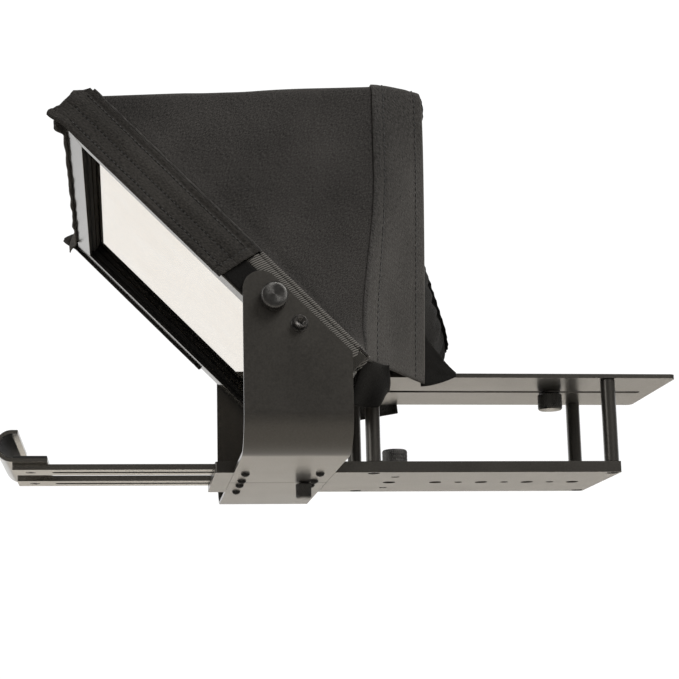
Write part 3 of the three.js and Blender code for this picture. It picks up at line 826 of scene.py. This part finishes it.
def hood_uvs(points, flat=True):
    """Weave coordinates up the right side, over the top and down the left side, as the cloth was cut."""
    column = np.arange(points.shape[1])
    up = points[:, :, 2].copy()
    top = (column >= SIDE_ROWS) & (column <= SIDE_ROWS + TOP_ROWS)
    left = column > SIDE_ROWS + TOP_ROWS
    up[:, top] = HOOD_TOP + FRAME_HALF - points[:, top, 0]
    up[:, left] = 2 * HOOD_TOP + 2 * FRAME_HALF - points[:, left, 2]
    over = points[:, :, 1].copy()
    if not flat:
        over[0] = 0
        over[1:] = np.cumsum(np.linalg.norm(np.diff(points, axis=0), axis=2), axis=0)
    return (np.stack([over, up], axis=2) * MM).reshape(-1, 2)


canopy_grid = canopy_points()
canopy = cloth("hood_canopy", canopy_grid, CLOTH, uvs=hood_uvs(canopy_grid))
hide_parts("hood_shell")
soft(canopy)
band_grid = band_points()
band = cloth("hood_rear_band", band_grid, CLOTH_BAND, uvs=hood_uvs(band_grid, False))
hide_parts("hood_shell")
soft(band)
for label, row in (("front", 11), ("rear", 32)):
    line, out = surface_line(band_grid, row)
    soft(stitches(f"band_stitches_{label}", line, out, THREAD, pitch=4.0, length=2.6, width=0.55))


# ---- rear skirt and lens sleeve -----------------------------------------------------------------


def rear_outline(angle):
    """Where a ray from the lens axis meets the rear edge of the hood."""
    c, s = math.cos(angle), math.sin(angle)
    top, foot = HOOD_TOP - 1.5 - LENS_Z, 74.0 - LENS_Z
    reach = []
    slope = (REAR_TOP_X - REAR_FOOT_X) / (HOOD_TOP - HOOD_FOOT)
    base = REAR_FOOT_X + slope * (LENS_Z - HOOD_FOOT) - 1.2
    for sign in (1, -1):
        k = sign * c - slope * s
        if k > 1e-6:
            reach.append(base / k)
    if s > 1e-6:
        reach.append(top / s)
    if s < -1e-6:
        reach.append(foot / s)
    r = min(reach)
    z = LENS_Z + r * s
    fall = min(max((HOOD_TOP - z) / (HOOD_TOP - HOOD_FOOT), 0), 1)
    return np.array([r * c, mix(REAR_TOP_Y, REAR_FOOT_Y, fall ** 0.6) - 0.8, z])


SLEEVE_R = 38.0
AROUND = 264                 # columns round the lens opening


def elastic_point(angle):
    low = (1 - math.sin(angle)) / 2
    y = -15.0 + 23.0 * low * low
    return np.array([SLEEVE_R * math.cos(angle), y, LENS_Z + SLEEVE_R * math.sin(angle)])


def skirt_points():
    rows = 30
    points = np.zeros((rows + 1, AROUND, 3))
    for j in range(AROUND):
        angle = 2 * math.pi * j / AROUND
        low = (1 - math.sin(angle)) / 2
        outer, inner = rear_outline(angle), elastic_point(angle)
        mid = mix(outer, inner, 0.5)
        mid += np.array([0, 15.0 * low ** 2.2, -9.0 * low ** 3])
        mid[2] = max(mid[2], 72.5)
        phase = 2.5 * noise.noise(Vector((math.cos(angle) * 2, math.sin(angle) * 2, 4.0)))
        for i in range(rows + 1):
            s = i / rows
            p = (1 - s) ** 2 * outer + 2 * s * (1 - s) * mid + s * s * inner
            gather = math.sin(27 * angle + phase) * (0.25 + 1.5 * s ** 1.5) * (1 - 0.55 * s ** 6)
            slack = crumple(p, 26, 2.2, 31) * math.sin(math.pi * s)
            p = p + np.array([0, gather * 0.9 + slack, 0])
            radial = np.array([math.cos(angle), 0, math.sin(angle)])
            points[i, j] = p + radial * gather * 0.35 * s
    return points


def frill_points():
    rows = 5
    points = np.zeros((rows + 1, AROUND, 3))
    for j in range(AROUND):
        angle = 2 * math.pi * j / AROUND
        ring = elastic_point(angle)
        radial = np.array([math.cos(angle), 0, math.sin(angle)])
        for i in range(rows + 1):
            s = i / rows
            wave = math.sin(36 * angle + 1.3 * math.sin(3 * angle)) * 0.35 * s
            wave += 0.8 * s * noise.noise(Vector((math.cos(angle) * 6, math.sin(angle) * 6, 2)))
            back = np.array([0, 1.0 + 2.6 * s + 0.4 * wave, 0])
            points[i, j] = ring + radial * (0.6 + 1.2 * s + wave) + back
    return points


skirt = cloth("rear_skirt", skirt_points(), CLOTH_SKIRT, 0.8, wrap=True)
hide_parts("hood_rear_panel", "hood_lens_sleeve")
soft(skirt)
frill = cloth("sleeve_frill", frill_points(), CLOTH_SKIRT, 0.7, wrap=True)
soft(frill)
RING_POINTS, RUCHES = 200, 50


def ruched_radius(i):
    return 1.7 + 0.35 * math.sin(i * 2 * math.pi * RUCHES / RING_POINTS)


ring_path = [elastic_point(2 * math.pi * i / RING_POINTS) for i in range(RING_POINTS)]
soft(tube("sleeve_elastic", ring_path, ruched_radius, CLOTH_SKIRT, 10, wrap=True))


def tail_points():
    """The corner of the skirt that droops beside the camera plate and tapers away behind the band."""
    columns, rows = 20, 14
    points = np.zeros((rows + 1, columns + 1, 3))
    for j in range(columns + 1):
        t = j / columns
        y = mix(REAR_FOOT_Y - 2.0, 7.0, t)
        bottom = 59.8 + 7.6 * t ** 1.7
        top = mix(100.0, 70.5, t ** 0.75)
        for i in range(rows + 1):
            s = i / rows
            x = mix(56.4 + 12.0 * (1 - s) * (1 - t), 53.4, t ** 1.3)
            x += crumple((y, s * 30, 0), 12, 1.6, 51) * math.sin(math.pi * t)
            points[i, j] = [max(x, 53.2), y, mix(top, bottom, s)]
    return points


tail = soft(cloth("skirt_tail_right", tail_points(), CLOTH_SKIRT, 0.8))


def foot_flap_points(sign):
    """The loose lower corner of the hood, hanging inside the arm from the foot of the seam."""
    columns, rows = 22, 18
    points = np.zeros((rows + 1, columns + 1, 3))
    for j in range(columns + 1):
        t = j / columns
        y = mix(-71.5, -50.0, t)
        bottom = mix(37.5, 34.5, t) + 12.0 * smooth((t - 0.72) / 0.28)
        for i in range(rows + 1):
            s = i / rows
            x = mix(mix(129.0, 111.5, smooth(t * 1.1)), 104.0, s * 0.8)
            x += 2.2 * math.sin(t * 9 + 1) * s + crumple((y, s * 25, 0), 11, 1.4, 90)
            forward = (1 - t) * (11.0 * s - 2.0)
            back = y - forward + 1.5 * s * math.sin(3 * s)
            points[i, j] = [sign * x, back, mix(63.2, bottom, s)]
    return points


# Painted shade: the foot flaps are drawn in the near-black skirt cloth, far darker than the hood twill
# they belong to, so they read as the dark mass inside the arms.
for label, sign in (("left", -1), ("right", 1)):
    soft(cloth(f"foot_flap_{label}", foot_flap_points(sign), CLOTH_SKIRT, 0.9))

# ---- edge of the hood along the frame -----------------------------------------------------------
FLAP_X = FRAME_HALF + 0.5
END_SEAM = 6.0               # the seam's distance from the flap's lower end


def flap_height(n, u):
    """How far the flap stands off the frame's side, across its width."""
    height = 1.7 * smooth((n + 1.6) / 1.6)
    height -= 0.45 * ridge(n, 3.6, 0.7)
    height -= 0.55 * ridge(n, 12.2, 0.55)
    height += 1.15 * ridge(n, 17.5, 4.2)
    height -= ridge(n, 25.2, 1.7)
    height -= 0.9 * ridge(u, flap_end(n) - END_SEAM, 0.8)
    return height


def flap_out(n, u):
    """The flap's mid surface off the frame's side, with its creases."""
    creases = crumple((u, n * 2.5, 0), 24, 0.5, 60) + crumple((u, n, 0), 8, 0.16, 62)
    return flap_height(n, u) + creases


def flap_end(n):
    return 141.8 + 0.21 * n


def flap_start(n):
    """The flap's upper end sticks up past the frame, with a frayed outline."""
    lift = float(np.interp(n, (-2, 1, 8, 14, 20, 25, 29), (-13.5, -15, -12, -11.5, -13, -9, -6)))
    return lift + 0.5 * noise.noise(Vector((n / 2.5, 0, 5)))


def flap_points(sign):
    columns, rows = 58, 190
    points = np.zeros((rows + 1, columns + 1, 3))
    for j in range(columns + 1):
        n = mix(-1.7, FRAME_DEEP + 0.6, j / columns)
        for i in range(rows + 1):
            u = mix(flap_start(n), flap_end(n), i / rows)
            out = flap_out(n, u)
            free = smooth(-u / 12)
            curl = free * (1.5 * math.sin(n * 0.35) + 1.2)
            inward = n - 2.4 * free * (1 - n / FRAME_DEEP)
            points[i, j] = rail(u, inward, sign * (FLAP_X + out - 0.6 * curl))
    return points


def on_flap(n, u, sign):
    """The point just outside the flap's cloth."""
    return rail(u, n, sign * (FLAP_X + flap_out(n, u) + 0.62))


def stitch_along(name, sign, n, u_from, u_to):
    line = [on_flap(n, mix(u_from, u_to, i / 80), sign) for i in range(81)]
    soft(stitches(name, line, (sign, 0, 0), THREAD, pitch=3.4, length=2.3, width=0.5))
    # A thin near-black tube along the stitch line: painted shade for the groove the stitches pull into
    # the cloth.
    soft(tube(name.replace("stitches", "painted_groove_shade"), line, 0.34, FLOCK, 6))


def across_end(name, sign):
    across = [mix(2.0, 26.0, i / 30) for i in range(31)]
    line = [on_flap(n, flap_end(n) - END_SEAM, sign) for n in across]
    soft(stitches(name, line, (sign, 0, 0), THREAD, pitch=2.9, length=2.2, width=0.5))


def ribbed_sheet(name, sign, n_low, n_high, x_low, u_from, u_to):
    """A band of knitted elastic whose ribs run across it at a slant and fray at its end."""
    columns, rows = 14, int((u_to - u_from) / RIB * 6)
    points = np.zeros((rows + 1, columns + 1, 3))
    uvs = []
    for i in range(rows + 1):
        for j in range(columns + 1):
            a = j / columns
            u = mix(u_from, u_to, i / rows)
            end = smooth((u - u_to + 16) / 16)
            n = mix(n_low + 1.5 * end, n_high + 0.6 * end, a)
            phase = (u - n * RIB_SLANT) / RIB
            rib = 0.24 * math.cos(2 * math.pi * phase)
            puff = 0.6 * math.sin(math.pi * a) ** 0.6 if 0 < a < 1 else 0.0
            wobble = crumple((u, 0, 0), 17, 0.15, 71)
            x = x_low - 5.0 * end * end + puff
            x = x + rib * (0.35 + 0.65 * math.sin(math.pi * a)) + wobble * a
            points[i, j] = rail(u, n + wobble * 0.5, sign * x)
            uvs.append((a * (n_high - n_low) * MM, phase * RIB * MM))
    return soft(cloth(name, points, ELASTIC, 0.5, uvs=uvs))


for label, sign in (("left", -1), ("right", 1)):
    flap = cloth(f"side_flap_{label}", flap_points(sign), CLOTH_FLAP, 1.1)
    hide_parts(f"hood_flap_{label}")
    soft(flap)
    stitch_along(f"flap_stitches_low_{label}", sign, 3.6, 0, 138)
    stitch_along(f"flap_stitches_mid_{label}", sign, 12.2, -8, 138)
    stitch_along(f"flap_stitches_high_{label}", sign, 23.6, -4, 139)
    across_end(f"flap_stitches_end_{label}", sign)
    elastic = ribbed_sheet(f"elastic_band_{label}", sign, 18.8, 27.2, FRAME_HALF + 0.55, 148, 247.5)
    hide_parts(f"hood_band_{label}")
    ribbed_sheet(f"elastic_rim_{label}", sign, 27.4, 30.3, FRAME_HALF + 0.6, 149.5, 246.5)
    strip = []
    for u in np.linspace(138, 191, 40):
        strip.append([rail(u, n, sign * (FRAME_HALF + 0.55)) for n in np.linspace(1.2, 18.4, 12)])
    soft(cloth(f"loop_strip_{label}", np.array(strip), FLOCK, 0.6))
    piping = []
    for i in range(61):
        n = FRAME_DEEP + 1.5 + 0.15 * math.sin(i * 0.9)
        piping.append(rail(mix(-4, 149, i / 60), n, sign * (FRAME_HALF + 1.9)))
    soft(tube(f"flap_piping_{label}", piping, 0.95, CLOTH_BAND, 10))


def top_flap_points():
    """The flap that wraps the top rail. It puffs up near the corners, and its front edge is wavy."""
    columns, rows = 120, 34
    points = np.zeros((rows + 1, columns + 1, 3))
    for j in range(columns + 1):
        s = mix(1, -1, j / columns)
        x = (FRAME_HALF + 1.2) * s
        corner = smooth((abs(s) - 0.86) / 0.13)
        front = -2.3 + 1.3 * noise.noise(Vector((x / 17, 0, 8))) - 4.5 * corner
        for i in range(rows + 1):
            a = i / rows
            n = mix(FRAME_DEEP + 0.8, front, a)
            puff = (7.5 + 2.0 * math.sin(3 * a)) * corner * math.sin(math.pi * (0.15 + 0.75 * a))
            u = -2.0 - 0.9 * math.sin(math.pi * a) - puff
            u += crumple((x, n * 2, 0), 20, 0.8, 80)
            droop = smooth((a - 0.9) / 0.1)
            points[i, j] = rail(u + 1.6 * droop, n, x)
    return points


top_flap = cloth("top_flap", top_flap_points(), CLOTH_FLAP, 1.1)
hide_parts("hood_flap_top")
soft(top_flap)


def tab_points(sign):
    """A folded webbing tab at the top rear corner."""
    points = []
    for i in range(9):
        z = mix(249.5, 233.0, i / 8)
        stick = 3.6 * math.sin(math.pi * (i + 0.6) / 9.2) ** 0.5
        row = []
        for j in range(7):
            x = mix(114.5, 108.0, j / 6)
            y = REAR_TOP_Y + 0.8 + stick * (1 - 0.1 * abs(j - 3)) + 0.3 * math.sin(i * 2.1 + j)
            row.append([sign * (x - (249.5 - z) * 0.30), y, z])
        points.append(row)
    return np.array(points, float)


for label, sign in (("left", -1), ("right", 1)):
    soft(cloth(f"corner_tab_{label}", tab_points(sign), CLOTH_SKIRT, 1.6))

# ---- small pieces -------------------------------------------------------------------------------


def hook_lining():
    """A thin rubber strip bonded inside the hook's curve."""
    low, high = box_mm("front_hook")
    radius = (high[2] - low[2]) / 2
    centre_y, centre_z = low[1] + radius, (low[2] + high[2]) / 2
    inner = radius - 2.5 - 0.15
    rows = []
    for i in range(25):
        angle = math.radians(mix(-92, -268, i / 24))
        ring = []
        for j in range(41):
            x = mix(low[0] + 0.8, high[0] - 0.8, j / 40)
            ring.append([x, centre_y + inner * math.cos(angle), centre_z + inner * math.sin(angle)])
        rows.append(ring)
    obj = cloth("hook_lining", np.array(rows), RUBBER, 0.9)
    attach(obj, "tray")


hook_lining()

# ---- stage, light and camera --------------------------------------------------------------------


def floor():
    s = Shader("floor", Roughness=0.75)
    marks = s.noise(s.coordinates(), 1.2, 3)
    s.set("Base Color", s.colours(marks, (0.78, 0.745, 0.69), (0.84, 0.805, 0.75), 0.3, 0.7))
    size, level = 6000, -420
    corners = [(-size, -size, level), (size, -size, level), (size, size, level), (-size, size, level)]
    mesh("floor", corners, [(0, 1, 2, 3)], s.material)


def area_light(name, place, aim, size, power, tint):
    data = bpy.data.lights.new(name, "AREA")
    data.shape = "RECTANGLE"
    data.size, data.size_y = size
    data.energy = power
    data.color = tint
    data.spread = math.radians(70)
    obj = bpy.data.objects.new(name, data)
    obj.location = place
    obj.rotation_mode = "QUATERNION"
    obj.rotation_quaternion = (Vector(aim) - Vector(place)).to_track_quat("-Z", "Y")
    bpy.context.scene.collection.objects.link(obj)
    return obj


def studio_world():
    """White sweep behind the object, and a dimmer room on the camera's side."""
    world = bpy.data.worlds.new("studio")
    bpy.context.scene.world = world
    world.use_nodes = True
    nodes, links = world.node_tree.nodes, world.node_tree.links
    background = nodes["Background"]
    where = nodes.new("ShaderNodeTexCoord")
    split = nodes.new("ShaderNodeSeparateXYZ")
    ramp = nodes.new("ShaderNodeValToRGB")
    shift = nodes.new("ShaderNodeMapRange")
    shift.inputs["From Min"].default_value = -1
    shift.inputs["From Max"].default_value = 1
    ramp.color_ramp.elements[0].position = 0.2
    ramp.color_ramp.elements[1].position = 0.48
    ramp.color_ramp.elements[0].color = (1.0, 1.0, 1.0, 1)
    ramp.color_ramp.elements[1].color = (0.15, 0.146, 0.14, 1)
    links.new(where.outputs["Generated"], split.inputs[0])
    links.new(split.outputs["X"], shift.inputs["Value"])
    links.new(shift.outputs["Result"], ramp.inputs["Fac"])
    links.new(ramp.outputs["Color"], background.inputs["Color"])
    background.inputs["Strength"].default_value = 1.05


def camera():
    data = bpy.data.cameras.new("camera")
    data.lens = 84.85
    data.sensor_width = 36
    data.shift_x = 0.08
    data.shift_y = 0.08
    data.clip_start, data.clip_end = 0.05, 50
    obj = bpy.data.objects.new("camera", data)
    obj.location = (1.1404, -0.2242, -0.1566)
    obj.rotation_euler = [math.radians(a) for a in (100.96, 0.95, 84.4)]
    bpy.context.scene.collection.objects.link(obj)
    bpy.context.scene.camera = obj


floor()
studio_world()
area_light("key", (1.4, 0.9, 1.5), (0, -0.05, 0.12), (1.2, 1.2), 6.5, (1, 0.985, 0.96))
area_light("fill", (0.9, -1.7, 0.9), (0, -0.1, 0.1), (1.4, 1.4), 2.6, (1, 0.99, 0.97))
sweep = area_light("sweep", (-2.3, 0.2, 0.1), (-2.3, 0.2, -1), (2.0, 4.5), 20, (1, 0.93, 0.82))
sweep.visible_camera = False
sweep.visible_glossy = False
camera()
bpy.context.scene.view_settings.view_transform = "Standard"
